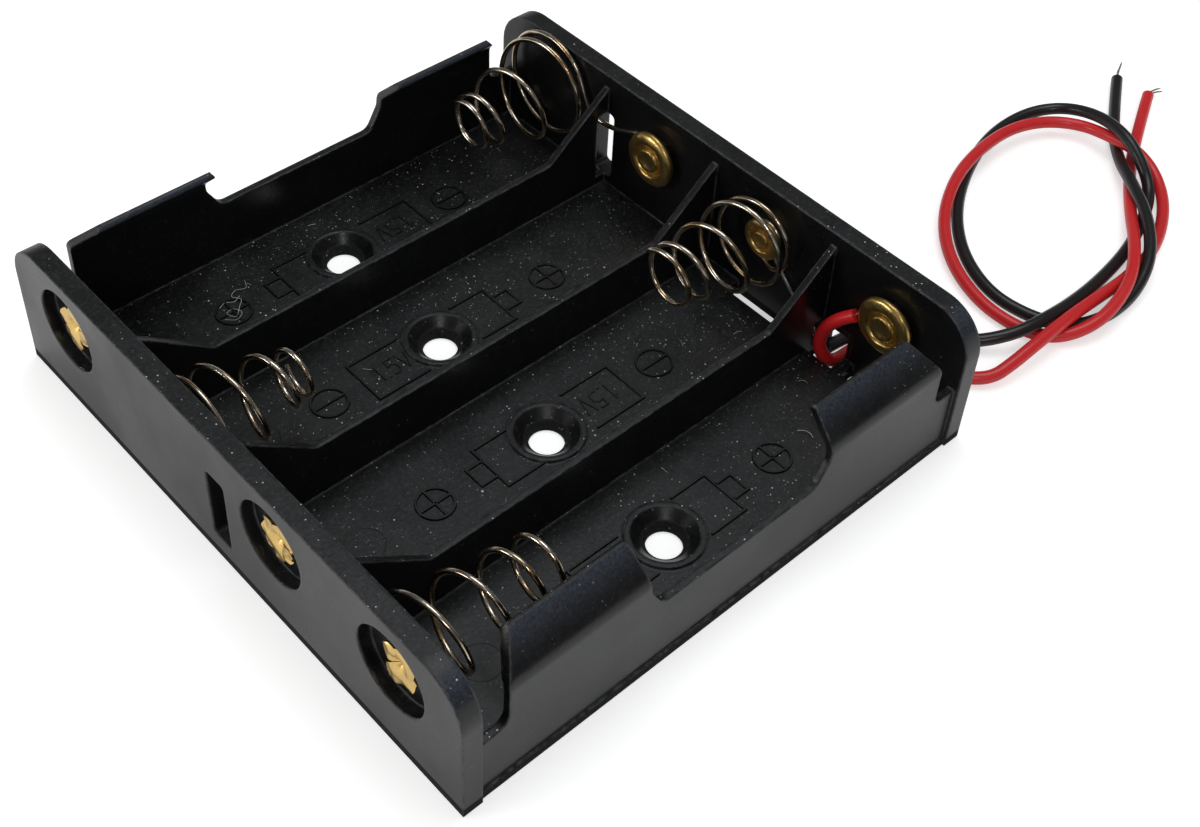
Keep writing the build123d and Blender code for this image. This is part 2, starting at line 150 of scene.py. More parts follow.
class Nodes:
    """Nodes of a material or of the world, up to its output."""

    def __init__(self, owner: Union[bpy.types.Material, bpy.types.World], output: str) -> None:
        """Empties the owner's node tree and adds its output.

        Args:
            owner: Material or world.
            output: Type name of the output node.
        """
        owner.use_nodes = True
        self.tree = owner.node_tree
        self.tree.nodes.clear()
        self.output = self.tree.nodes.new(output)

    def add(self, kind: str, settings: dict, inputs: dict, output: Union[int, str] = 0) -> Signal:
        """Adds one node.

        Args:
            kind: Type name of the node.
            settings: The node's own properties, set first. The key "stops" sets a ramp's stops.
            inputs: Values, or signals to link, by socket name or number.
            output: Name or number of the socket that is returned.

        Returns:
            The chosen output.
        """
        node = self.tree.nodes.new(kind)
        for key, setting in settings.items():
            if key == "stops":
                while len(node.color_ramp.elements) < len(setting):
                    node.color_ramp.elements.new(1.0)
                for stop, (place, colour) in zip(node.color_ramp.elements, setting):
                    stop.position = place
                    stop.color = (*colour, 1.0)
            else:
                setattr(node, key, setting)
        for key, value in inputs.items():
            self.wire(node.inputs[key], value)
        return Signal(self, node.outputs[output])

    def surface(self, shader: Signal) -> None:
        """Sends a shader to the output."""
        self.wire(self.output.inputs["Surface"], shader)

    def ray(self, kind: str) -> Signal:
        """1 for rays of a kind, such as Camera or Glossy, else 0."""
        return self.add("ShaderNodeLightPath", {}, {}, f"Is {kind} Ray")

    def wire(self, socket: bpy.types.NodeSocket, value: object) -> None:
        """Links a signal to a socket, or sets the socket's own value.

        Args:
            socket: Input socket.
            value: Signal, number, colour or vector.
        """
        if isinstance(value, Signal):
            self.tree.links.new(value.socket, socket)
        elif isinstance(value, tuple) and socket.type == "RGBA" and len(value) == 3:
            socket.default_value = (*value, 1.0)
        else:
            socket.default_value = value


class FinishNodes(Nodes):
    """Nodes of one material, with its Principled shader."""

    def __init__(self, name: str) -> None:
        """Makes the material, with the Principled shader at its output.

        Args:
            name: Name of the material.
        """
        self.material = bpy.data.materials.new(name)
        super().__init__(self.material, "ShaderNodeOutputMaterial")
        self.shader = self.add("ShaderNodeBsdfPrincipled", {}, {})
        self.surface(self.shader)

    def feed(self, **values: object) -> None:
        """Sets the Principled shader's sockets, named with underscores for spaces."""
        for key, value in values.items():
            self.wire(self.shader.socket.node.inputs[key.replace("_", " ")], value)

    def place(self) -> Signal:
        """Point on the surface, in metres in the row frame."""
        return self.add("ShaderNodeTexCoord", {}, {}, "Object")

    def noise(self, scale: float, detail: float, roughness: float) -> Signal:
        """Noise about 0.5, with the scale as its features in one metre."""
        inputs = {"Vector": self.place(), "Scale": scale, "Detail": detail, "Roughness": roughness}
        return self.add("ShaderNodeTexNoise", {}, inputs)

    def blend(self, factor: Value, first: object, second: object) -> Signal:
        """Mixed colour, where a factor of 0 gives the first colour and 1 the second."""
        return self.add("ShaderNodeMix", {"data_type": "RGBA"}, {0: factor, 6: first, 7: second}, 2)

    def bump(
        self, height: Signal, depth: float, strength: float, base: Optional[Signal] = None
    ) -> Signal:
        """Surface normal of a fine relief.

        Args:
            height: Relief, from 0 to 1.
            depth: Height of 1 in metres.
            strength: Share of the relief that is used.
            base: Normal that the relief lies on, or None.

        Returns:
            The bumped normal.
        """
        inputs = {"Height": height, "Distance": depth, "Strength": strength}
        if base is not None:
            inputs["Normal"] = base
        return self.add("ShaderNodeBump", {}, inputs)

    def rounded(self, radius: float) -> Signal:
        """Normal with every edge rounded off by a radius in metres."""
        return self.add("ShaderNodeBevel", {"samples": 6}, {"Radius": radius})

    def dot(self, first: Signal, second: object) -> Signal:
        """Dot product of two vectors."""
        settings = {"operation": "DOT_PRODUCT"}
        return self.add("ShaderNodeVectorMath", settings, {0: first, 1: second}, "Value")

    def facing(self) -> Signal:
        """True normal of the surface, with no smoothing."""
        return self.add("ShaderNodeNewGeometry", {}, {}, "True Normal")

    def specks(self, cell: float, share: float, size: float) -> Signal:
        """Sparse small round specks.

        Args:
            cell: Mean distance between possible specks, in metres.
            share: Share of the cells that hold one.
            size: Radius of the largest speck, in metres.

        Returns:
            1 on a speck, else 0.
        """
        voronoi = {"Vector": self.place(), "Scale": 1 / cell}
        distance = self.add("ShaderNodeTexVoronoi", {}, voronoi, "Distance")
        colour = self.add("ShaderNodeTexVoronoi", {}, voronoi, "Color")
        chosen = self.add("ShaderNodeSeparateColor", {}, {0: colour}, 0) < share
        reach = self.add("ShaderNodeSeparateColor", {}, {0: colour}, 1) * (size / cell)
        return (distance < reach) * chosen


@dataclass(frozen=True)
class TrayPlastic:
    """Black moulded plastic: satin outside, finely grained floors, pale dust where it is open, and
    a painted bluish highlight along the top of the front lip.
    """

    name: str = "tray_plastic"
    base: Colour = (0.0030, 0.0032, 0.0037)
    dust: Colour = (0.50, 0.53, 0.52)
    edge: Colour = (0.13, 0.14, 0.15)
    # Bluish grey of the painted highlight along the top of the front lip.
    rim: Colour = (0.10, 0.12, 0.17)
    edge_radius: float = 0.38 * MM
    haze: float = 0.05
    specked: float = 1.0
    foot: tuple[float, float] = (1.05 * MM, 0.75 * MM)
    # Heights over which the painted lip highlight fades in.
    painted_lip_highlight: tuple[float, float] = (12.2 * MM, 14.9 * MM)
    grain_depth: float = 0.032 * MM
    sink_depth: float = 0.25 * MM
    index: float = 1.5

    def material(self) -> bpy.types.Material:
        """Builds the finish.

        Returns:
            The material.
        """
        nodes = FinishNodes(self.name)
        soft_edge = nodes.rounded(self.edge_radius)
        wear = (1.0 - nodes.dot(soft_edge, nodes.facing())).ramp(0.03, 0.26)
        worn = wear * nodes.noise(1100, 4, 0.65).ramp(0.36, 0.68)
        up = nodes.dot(nodes.facing(), (0.0, 0.0, 1.0)).ramp(0.6, 0.95)
        height = nodes.dot(nodes.place(), (0.0, 0.0, 1.0))
        foot = height.ramp(*self.foot)
        # Painted highlight: front-facing surfaces near the lip's top are lightened towards a bluish
        # grey.
        painted_lip_highlight = nodes.dot(soft_edge, (0.0, -1.0, 0.0)).ramp(0.15, 0.5) * height.ramp(*self.painted_lip_highlight)
        patches = nodes.noise(85, 3, 0.55).ramp(0.32, 0.68)
        mottle = nodes.noise(2600, 3, 0.7).ramp(0.44, 0.72)
        cloud = nodes.noise(420, 4, 0.6).ramp(0.3, 0.8)
        haze = (0.35 * cloud + 0.65 * mottle) * (0.25 + 0.75 * up) * self.haze
        fine = nodes.specks(0.36 * MM, 0.42, 0.08 * MM)
        coarse = nodes.specks(1.3 * MM, 0.4, 0.12 * MM)
        crowd = nodes.noise(95, 2, 0.5).ramp(0.34, 0.56)
        specks = (fine * crowd + coarse) * (up * 0.75 + 0.2) * self.specked
        colour = nodes.blend(haze, self.base, self.dust)
        # Noise that breaks up the painted lip highlight.
        highlight_mottle = nodes.noise(4200, 3, 0.65).ramp(0.3, 0.75)
        colour = nodes.blend(painted_lip_highlight * (0.16 + 0.34 * highlight_mottle), colour, self.rim)
        colour = nodes.blend(worn * 0.75, colour, self.edge)
        colour = nodes.blend(specks.ramp(0.0, 1.0), colour, self.dust)
        rough = 0.24 + 0.13 * patches + 0.10 * up + 0.3 * specks + 0.12 * worn + 0.75 * foot
        grain = nodes.noise(5200, 2, 0.5) * 0.35 + nodes.noise(2400, 3, 0.6) * 0.65
        sinks = nodes.bump(nodes.noise(55, 1, 0.4), self.sink_depth, 0.55, soft_edge)
        nodes.feed(
            Base_Color=colour,
            Roughness=rough,
            Normal=nodes.bump(grain, self.grain_depth, 0.6, sinks),
            IOR=self.index,
        )
        return nodes.material


@dataclass(frozen=True)
class Brass:
    """Pressed brass: polished crests, hollows darkened to brown as painted shade with mottled
    tarnish, fine turning marks.
    """

    bright: Colour = (0.86, 0.59, 0.21)
    # Brown that the hollows and tarnish spots take: partly painted shade, partly tarnish.
    dull: Colour = (0.34, 0.18, 0.04)

    def material(self) -> bpy.types.Material:
        """Builds the finish.

        Returns:
            The material.
        """
        nodes = FinishNodes("rivet_brass")
        # Painted shade: low pointiness darkens the hollows towards the brown.
        pointiness = nodes.add("ShaderNodeNewGeometry", {}, {}, "Pointiness").ramp(0.44, 0.52)
        cloud = nodes.noise(900, 4, 0.6)
        spots = nodes.noise(4200, 3, 0.7).ramp(0.6, 0.72)
        # Mask mixing the painted hollow shade with noise tarnish; 1 gives bright clean brass.
        free_of_painted_shade_and_tarnish = (pointiness * 0.75 + cloud * 0.5).ramp(0.25, 0.8) * (1.0 - spots * 0.5)
        nodes.feed(
            Base_Color=nodes.blend(free_of_painted_shade_and_tarnish, self.dull, self.bright),
            Metallic=1.0,
            Roughness=0.46 - 0.16 * free_of_painted_shade_and_tarnish,
            Normal=nodes.bump(nodes.noise(2600, 3, 0.6), 0.03 * MM, 0.5),
        )
        return nodes.material


@dataclass(frozen=True)
class SpringSteel:
    """Nickel-plated spring wire, warm grey with browner stretches."""

    bright: Colour = (0.80, 0.71, 0.58)
    brown: Colour = (0.52, 0.38, 0.22)

    def material(self) -> bpy.types.Material:
        """Builds the finish.

        Returns:
            The material.
        """
        nodes = FinishNodes("spring_steel")
        tint = nodes.noise(260, 3, 0.6).ramp(0.42, 0.66)
        nodes.feed(
            Base_Color=nodes.blend(tint, self.bright, self.brown),
            Metallic=1.0,
            Roughness=0.13 + 0.14 * nodes.noise(1800, 3, 0.6),
            Normal=nodes.bump(nodes.noise(1500, 3, 0.55), 0.05 * MM, 0.6),
        )
        return nodes.material


@dataclass(frozen=True)
class TinnedWire:
    """Bare tinned copper, dull silver."""

    tin: Colour = (0.62, 0.61, 0.58)
    grey: Colour = (0.30, 0.29, 0.27)

    def material(self) -> bpy.types.Material:
        """Builds the finish.

        Returns:
            The material.
        """
        nodes = FinishNodes("tinned_wire")
        cloud = nodes.noise(1400, 3, 0.6).ramp(0.35, 0.7)
        nodes.feed(
            Base_Color=nodes.blend(cloud, self.tin, self.grey),
            Metallic=1.0,
            Roughness=0.25 + 0.2 * cloud,
            Normal=nodes.bump(nodes.noise(3800, 2, 0.5), 0.02 * MM, 0.5),
        )
        return nodes.material


@dataclass(frozen=True)
class Insulation:
    """Glossy extruded lead insulation with a faint lengthwise waviness and handling marks."""

    name: str
    colour: Colour
    scuff: Colour
    index: float = 1.52

    def material(self) -> bpy.types.Material:
        """Builds the finish.

        Returns:
            The material.
        """
        nodes = FinishNodes(self.name)
        cloud = nodes.noise(240, 3, 0.55)
        scuffs = nodes.noise(2600, 4, 0.65).ramp(0.62, 0.8)
        nodes.feed(
            Base_Color=nodes.blend(scuffs * 0.35 + 0.12 * cloud, self.colour, self.scuff),
            Roughness=0.24 + 0.14 * cloud + 0.2 * scuffs,
            Normal=nodes.bump(nodes.noise(900, 2, 0.5), 0.03 * MM, 0.5),
            IOR=self.index,
        )
        return nodes.material


@dataclass(frozen=True)
class Dust:
    """Pale settled dust and lint."""

    pale: Colour = (0.55, 0.57, 0.56)
    warm: Colour = (0.30, 0.28, 0.24)

    def material(self) -> bpy.types.Material:
        """Builds the finish.

        Returns:
            The material.
        """
        nodes = FinishNodes("dust")
        tint = nodes.noise(300, 2, 0.5).ramp(0.4, 0.65)
        nodes.feed(Base_Color=nodes.blend(tint, self.pale, self.warm), Roughness=0.9)
        return nodes.material


# ---- Meshes


class Draft:
    """Points and faces in millimetres that become one Blender object."""

    ridge_top = 0.56
    ridge_sunk = 0.02
    tiny = 1e-6

    def __init__(self) -> None:
        """Starts with nothing in it."""
        self.points: list[Vector] = []
        self.faces: list[tuple[int, ...]] = []

    def grid(self, rows: Sequence[Sequence[Vector]], wrap: bool = False) -> None:
        """Adds a sheet of four-sided faces between rows of points.

        Args:
            rows: Rows of the same length.
            wrap: True where each row is a closed ring.
        """
        start = len(self.points)
        width = len(rows[0])
        for row in rows:
            self.points.extend(row)
        for i in range(len(rows) - 1):
            for j in range(width if wrap else width - 1):
                a = start + i * width + j
                b = start + i * width + (j + 1) % width
                self.faces.append((a, b, b + width, a + width))

    def cap(self, first: int, count: int, flip: bool = False) -> None:
        """Closes a ring with one face, from the index of its first point and its count."""
        ring = list(range(first, first + count))
        self.faces.append(tuple(reversed(ring)) if flip else tuple(ring))

    def prism(self, corners: Sequence[tuple[float, float]], low: float, high: float) -> None:
        """Adds an upright prism.

        Args:
            corners: Corners of its level section, anticlockwise from above.
            low: Height of its underside.
            high: Height of its top.
        """
        start = len(self.points)
        rows = [[Vector((x, y, z)) for x, y in corners] for z in (low, high)]
        self.grid(rows, wrap=True)
        self.cap(start, len(corners), flip=True)
        self.cap(start + len(corners), len(corners))

    def tube(self, path: Sequence[Vector], radius: Radius, sides: int) -> None:
        """Adds a round wire along a path.

        Args:
            path: Centre points, close together.
            radius: Radius, or a function of the share of the way along.
            sides: Faces round the wire.
        """
        start = len(self.points)
        last = len(path) - 1
        heading = (path[1] - path[0]).normalized()
        normal = heading.orthogonal().normalized()
        rings = []
        for i, point in enumerate(path):
            ahead = (path[min(i + 1, last)] - path[max(i - 1, 0)]).normalized()
            normal = (normal - ahead * normal.dot(ahead)).normalized()
            across = ahead.cross(normal)
            reach = radius(i / last) if callable(radius) else radius
            rings.append(
                [
                    point + (normal * math.cos(turn) + across * math.sin(turn)) * reach
                    for turn in (math.tau * k / sides for k in range(sides))
                ]
            )
        self.grid(rings, wrap=True)
        self.cap(start, sides, flip=True)
        self.cap(start + last * sides, sides)

    def ridge(
        self, path: Sequence[Vector], width: float, height: float, closed: bool = False
    ) -> None:
        """Adds a low raised line that lies on a floor.

        Args:
            path: Points on the floor.
            width: Width at the foot.
            height: Height of the narrower top.
            closed: True where the line runs back to its start.
        """
        points = list(path) + ([path[0], path[1]] if closed else [])
        up = Vector((0, 0, height))
        sunk = Vector((0, 0, -self.ridge_sunk))
        top = self.ridge_top / 2
        rows = []
        for i, point in enumerate(points[:-1] if closed else points):
            before = point - (points[-3] if closed and i == 0 else points[max(i - 1, 0)])
            after = points[min(i + 1, len(points) - 1)] - point
            first = (before if before.length > self.tiny else after).normalized()
            second = (after if after.length > self.tiny else before).normalized()
            ahead = (first + second).normalized()
            across = Vector((-ahead.y, ahead.x, 0)) * (1.0 / max(0.5, ahead.dot(second)))
            section = ((0.5, sunk), (top, up), (-top, up), (-0.5, sunk))
            rows.append([point + across * width * share + lift for share, lift in section])
        start = len(self.points)
        self.grid(rows)
        if not closed:
            self.cap(start, 4)
            self.cap(start + 4 * (len(rows) - 1), 4, flip=True)

    def build(self, name: str, material: bpy.types.Material, smooth: float) -> bpy.types.Object:
        """Makes the object.

        Args:
            name: Name of the object.
            material: Its finish.
            smooth: Angle in degrees up to which edges are shaded smooth.

        Returns:
            The object, in metres, linked to the scene.
        """
        mesh = bpy.data.meshes.new(name)
        mesh.from_pydata([point * MM for point in self.points], [], self.faces)
        mesh.validate()
        mesh.materials.append(material)
        mesh.shade_smooth()
        mesh.set_sharp_from_angle(angle=math.radians(smooth))
        made = bpy.data.objects.new(name, mesh)
        bpy.context.scene.collection.objects.link(made)
        log.info("%s: %d faces", name, len(mesh.polygons))
        return made


def through(points: Sequence[Vector], steps: int) -> list[Vector]:
    """Smooth line through points.

    Args:
        points: Points to pass through.
        steps: New points in each gap.

    Returns:
        The points of the line.
    """
    ends = [points[0] * 2 - points[1], *points, points[-1] * 2 - points[-2]]
    line = []
    for a, b, c, d in zip(ends[:-3], ends[1:-2], ends[2:-1], ends[3:]):
        bend = 2 * a - 5 * b + 4 * c - d
        twist = 3 * b - a - 3 * c + d
        for t in (k / steps for k in range(steps)):
            line.append(0.5 * (2 * b + (c - a) * t + bend * t * t + twist * t**3))
    return line + [points[-1].copy()]


def ring(centre: Vector, radius: float, count: int) -> list[Vector]:
    """Points of a level circle, anticlockwise from +X."""
    turns = [math.tau * k / count for k in range(count)]
    return [centre + Vector((math.cos(t), math.sin(t), 0)) * radius for t in turns]


# ---- Studio


@dataclass(frozen=True)
class Lamp:
    """Square soft lamp that faces the tray. A level of 1 makes its face white."""

    name: str
    place: Point
    size: float
    level: float
    colour: Colour

    def hang(self) -> None:
        """Hangs the lamp."""
        data = bpy.data.lights.new(self.name, "AREA")
        data.shape = "SQUARE"
        data.size = self.size
        data.energy = self.level * math.pi * self.size * self.size
        data.color = self.colour
        lamp = bpy.data.objects.new(self.name, data)
        lamp.location = self.place
        lamp.rotation_euler = Vector(self.place).to_track_quat("Z", "Y").to_euler()
        bpy.context.scene.collection.objects.link(lamp)


@dataclass
class Studio:
    """Camera, floor, world and lamps."""

    camera_place: Vector = field(default_factory=lambda: Vector((-71.46, -84.30, 119.56)))
    azimuth: float = -45.588
    elevation: float = 42.453
    roll: float = 4.063
    lens: float = 52.53
    sensor: float = 36.0
    clip: tuple[float, float] = (0.005, 20.0)
    shift: tuple[float, float] = (-0.0129, -0.1344)
    floor_size: float = 4.0
    floor_drop: float = 0.03 * MM
    floor_colour: Colour = (0.86, 0.86, 0.86)
    floor_glow: float = 0.5
    mirrored_glow: float = 0.22
    white: Colour = (1.0, 1.0, 1.0)
    light: float = 0.50
    blue_share: float = 1.03
    room: Sequence[tuple[float, float]] = (
        (0.0, 0.80), (0.08, 0.42), (0.22, 0.09), (0.60, 0.06), (1.0, 0.18),
    )
    lamps: Sequence[Lamp] = (
        Lamp("overhead", (0.10, 0.05, 0.44), 0.24, 2.7, (0.94, 0.97, 1.0)),
        Lamp("behind_camera", (-0.26, -0.30, 0.36), 0.08, 13.0, (1.0, 0.99, 0.97)),
        Lamp("back_left", (-0.40, 0.20, 0.15), 0.15, 6.5, (1.0, 0.98, 0.95)),
    )

    def camera(self) -> None:
        """Sets the camera at the photograph's viewpoint."""
        a, e, r = (math.radians(v) for v in (self.azimuth, self.elevation, self.roll))
        back = Vector((math.sin(a) * math.cos(e), -math.cos(a) * math.cos(e), math.sin(e)))
        right = (-back).cross(Vector((0, 0, 1))).normalized()
        up = back.cross(right)
        turned_right = right * math.cos(r) + up * math.sin(r)
        turned_up = up * math.cos(r) - right * math.sin(r)
        data = bpy.data.cameras.new("view")
        data.sensor_width = self.sensor
        data.sensor_fit = "HORIZONTAL"
        data.lens = self.lens
        data.shift_x, data.shift_y = self.shift
        data.clip_start, data.clip_end = self.clip
        camera = bpy.data.objects.new("view", data)
        columns = Matrix((turned_right, turned_up, back)).transposed()
        camera.matrix_world = Matrix.Translation(self.camera_place * MM) @ columns.to_4x4()
        bpy.context.scene.collection.objects.link(camera)
        bpy.context.scene.camera = camera

    def floor(self) -> None:
        """Lays the pale floor, which keeps the object's shadow."""
        half = self.floor_size / 2
        mesh = bpy.data.meshes.new("floor")
        corners = [(-half, -half), (half, -half), (half, half), (-half, half)]
        mesh.from_pydata([(x, y, -self.floor_drop) for x, y in corners], [], [(0, 1, 2, 3)])
        nodes = FinishNodes("pale_floor")
        nodes.feed(Base_Color=self.floor_colour, Roughness=0.9)
        seen = nodes.ray("Camera") + nodes.ray("Glossy") * self.mirrored_glow
        seen = seen + nodes.ray("Transmission")
        glow = nodes.add("ShaderNodeEmission", {}, {"Strength": self.floor_glow})
        lit = nodes.add("ShaderNodeAddShader", {}, {0: nodes.shader, 1: glow})
        nodes.surface(nodes.add("ShaderNodeMixShader", {}, {0: seen, 1: nodes.shader, 2: lit}))
        mesh.materials.append(nodes.material)
        floor = bpy.data.objects.new("floor", mesh)
        bpy.context.scene.collection.objects.link(floor)

    def world(self) -> None:
        """White to the eye, soft and even as light, and darker overhead in reflections."""
        world = bpy.data.worlds.new("studio")
        bpy.context.scene.world = world
        nodes = Nodes(world, "ShaderNodeOutputWorld")
        place = nodes.add("ShaderNodeTexCoord", {}, {}, "Generated")
        up = nodes.add("ShaderNodeSeparateXYZ", {}, {0: place}, "Z")
        stops = [(at, (level, level, level * self.blue_share)) for at, level in self.room]
        room = nodes.add("ShaderNodeValToRGB", {"stops": stops}, {"Fac": up})
        light, mirror, eye = (
            nodes.add("ShaderNodeBackground", {}, {"Color": colour, "Strength": strength})
            for colour, strength in ((self.white, self.light), (room, 1.0), (self.white, 1.0))
        )
        straight = {0: nodes.ray("Camera"), 1: nodes.ray("Transmission")}
        seen = nodes.add("ShaderNodeMath", {"operation": "MAXIMUM"}, straight)
        shade = nodes.add("ShaderNodeMixShader", {}, {0: nodes.ray("Glossy"), 1: light, 2: mirror})
        nodes.surface(nodes.add("ShaderNodeMixShader", {}, {0: seen, 1: shade, 2: eye}))

    def build(self) -> None:
        """Sets up everything that isn't the object."""
        self.camera()
        self.floor()
        self.world()
        for lamp in self.lamps:
            lamp.hang()
        bpy.context.scene.view_settings.view_transform = "Standard"


# ---- Leads


@dataclass
class Lead:
    """One insulated lead: the points that steer its line, its bare strands and its finish."""

    name: str
    route: Sequence[Point]
    strands: Sequence[Sequence[Point]]
    finish: Insulation
    diameter: float = 1.3
    sides: int = 24
    waviness: float = 0.008
    waves: float = 90.0
    strand_sides: int = 10
    strand_radius: float = 0.1
    strand_taper: float = 0.35
    root_radius: float = 0.13
    root_spread: Sequence[tuple[float, float]] = ((0.0, 0.0), (0.14, 0.12), (-0.1, 0.2))

    def line(self) -> list[Vector]:
        """Points of the lead's line, a NURBS spline with the route as its control points.

        Returns:
            The points in metres.
        """
        curve = bpy.data.curves.new(self.name, "CURVE")
        curve.dimensions = "3D"
        curve.resolution_u = 12
        spline = curve.splines.new("NURBS")
        spline.points.add(len(self.route) - 1)
        for point, place in zip(spline.points, self.route):
            point.co = (*(v * MM for v in place), 1.0)
        spline.order_u = 3
        spline.use_endpoint_u = True
        guide = bpy.data.objects.new(f"{self.name}_guide", curve)
        bpy.context.scene.collection.objects.link(guide)
        graph = bpy.context.evaluated_depsgraph_get()
        mesh = bpy.data.meshes.new_from_object(guide.evaluated_get(graph))
        points = [vertex.co.copy() for vertex in mesh.vertices]
        bpy.data.meshes.remove(mesh)
        bpy.data.objects.remove(guide)
        bpy.data.curves.remove(curve)
        return points

    def insulation(self, line: Sequence[Vector]) -> bpy.types.Object:
        """Makes the insulation, with the faint unevenness of an extruded tube.

        Args:
            line: Points of the lead's line in metres.

        Returns:
            The insulation.
        """
        draft = Draft()
        radius, wave, turns = self.diameter / 2, self.waviness, self.waves
        path = [point / MM for point in line]
        draft.tube(path, lambda t: radius * (1 - wave + wave * math.sin(turns * t)), self.sides)
        return draft.build(f"{self.name}_insulation", self.finish.material(), 50)

    def tip(self, tin: bpy.types.Material) -> bpy.types.Object:
        """Makes the bare strands at the stripped end.

        Args:
            tin: Finish of the strands.

        Returns:
            The strands as one object.
        """
        draft = Draft()
        radius, taper = self.strand_radius, self.strand_taper
        for strand in self.strands:
            path = through([Vector(point) for point in strand], 8)
            draft.tube(path, lambda t: radius * (1 - taper * t**6), self.strand_sides)
        return draft.build(f"{self.name}_end_strands", tin, 40)

    def root(self, path: Sequence[Sequence[float]], tin: bpy.types.Material) -> None:
        """Makes the bare strands that run to the lead's rivet.

        Args:
            path: X, Y, Z and the shares of the strands' sideways and upward spread.
            tin: Finish of the strands.
        """
        draft = Draft()
        for shift, rise in self.root_spread:
            points = [Vector((x + shift * a, y, z + rise * b)) for x, y, z, a, b in path]
            draft.tube(through(points, 6), self.root_radius, self.strand_sides)
        made = draft.build(f"{self.name}_root_strands", tin, 40)
        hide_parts(f"{self.name}_strands")
        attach(made, BODY)

    def build(self, tin: bpy.types.Material) -> None:
        """Args:
            tin: Finish of the strands.
        """
        line = self.line()
        cord = self.insulation(line)
        tip = self.tip(tin)
        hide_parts(f"{self.name}_lead")
        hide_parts(f"{self.name}_tip")
        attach(cord, BODY)
        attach(tip, BODY)


BLACK_ROUTE = (
    (27.7, -16.28, 0.85), (32.6, -16.4, 0.68), (36.0, -20.9, 0.67), (38.9, -24.95, 0.97),
    (42.04, -27.45, 1.99), (45.67, -28.23, 2.29), (50.67, -28.27, 1.6), (56.92, -27.73, 0.85),
    (63.41, -26.64, 0.66), (69.4, -24.45, 0.73), (72.2, -22.62, 1.35), (73.38, -19.95, 3.0),
    (74.31, -17.2, 3.97), (75.8, -12.82, 3.18), (75.44, -8.56, 1.89), (71.89, -6.1, 1.23),
    (65.84, -5.86, 0.85), (59.16, -8.05, 0.66), (53.15, -11.52, 0.66), (48.54, -16.14, 0.66),
    (46.13, -21.4, 0.66), (46.41, -25.91, 0.66), (48.13, -29.5, 0.66), (51.99, -31.29, 0.66),
    (56.96, -31.41, 1.13), (61.84, -29.76, 2.18), (66.33, -26.06, 2.65), (69.54, -21.89, 2.58),
    (73.56, -17.64, 1.14), (78.53, -13.56, 0.66), (86.35, -8.69, 0.66),
)
BLACK_STRANDS = (
    ((86.2, -8.78, 0.66), (87.4, -8.03, 0.66), (88.6, -7.5, 0.58), (89.75, -7.02, 0.48)),
    ((86.2, -8.80, 0.72), (87.4, -8.10, 0.72), (88.5, -7.58, 0.62), (89.5, -7.16, 0.50)),
)
RED_ROUTE = (
    (26.43, -19.63, 8.48), (25.95, -18.2, 7.35), (25.5, -17.0, 5.3), (25.35, -16.85, 3.1),
    (25.95, -17.65, 1.4), (27.1, -17.95, 0.85), (28.7, -17.95, 0.7), (31.9, -18.0, 0.66),
    (33.3, -22.4, 0.66), (34.6, -27.0, 0.66), (36.6, -29.15, 0.9), (39.15, -29.56, 1.49),
    (42.49, -29.71, 2.12), (47.05, -29.65, 2.33), (52.67, -29.44, 1.59), (58.22, -29.45, 0.99),
    (64.55, -28.7, 0.73), (70.57, -25.88, 0.81), (74.2, -22.4, 1.2), (74.89, -19.16, 2.38),
    (74.61, -16.08, 2.46), (74.81, -11.83, 1.67), (72.24, -8.68, 1.55), (67.41, -7.35, 2.07),
    (61.42, -7.59, 2.24), (55.93, -8.8, 1.83), (50.43, -11.81, 1.29), (46.4, -16.22, 0.99),
    (44.24, -21.47, 0.77), (44.21, -25.88, 0.66), (45.37, -29.15, 0.66), (47.81, -31.04, 1.2),
    (51.47, -31.83, 2.07), (57.03, -30.57, 2.43), (61.83, -27.69, 2.42), (67.01, -23.71, 1.41),
    (72.21, -20.19, 0.66), (77.92, -16.92, 0.66), (86.54, -12.82, 0.72),
)
RED_STRANDS = (
    ((86.4, -12.9, 0.72), (87.1, -12.7, 0.74), (88.1, -12.75, 0.70), (89.0, -12.9, 0.52)),
    ((86.4, -12.95, 0.66), (87.0, -12.85, 0.66), (87.9, -13.05, 0.62), (88.7, -13.35, 0.5)),
    ((86.4, -12.86, 0.66), (87.0, -12.62, 0.68), (87.8, -12.66, 0.66), (88.6, -12.72, 0.56)),
)
RED_ROOT = (
    (26.43, -19.63, 8.48, 0.0, 0.5), (26.93, -20.05, 9.0, 0.3, 1.0),
    (27.03, -20.7, 9.75, 0.0, 1.0), (27.03, -21.7, 10.75, 0.5, 1.0),
    (27.03, -22.9, 11.2, 0.0, 1.0), (27.03, -24.2, 10.45, 0.0, 1.0),
)


def make_leads(tin: bpy.types.Material) -> None:
    """Makes both leads.

    Args:
        tin: Finish of the bare strands.
    """
    black_skin = Insulation("black_insulation", (0.012, 0.012, 0.013), (0.06, 0.06, 0.06))
    red_skin = Insulation("red_insulation", (0.66, 0.010, 0.014), (0.75, 0.16, 0.15))
    Lead("black", BLACK_ROUTE, BLACK_STRANDS, black_skin).build(tin)
    red = Lead("red", RED_ROUTE, RED_STRANDS, red_skin)
    red.build(tin)
    red.root(RED_ROOT, tin)


# ---- Springs


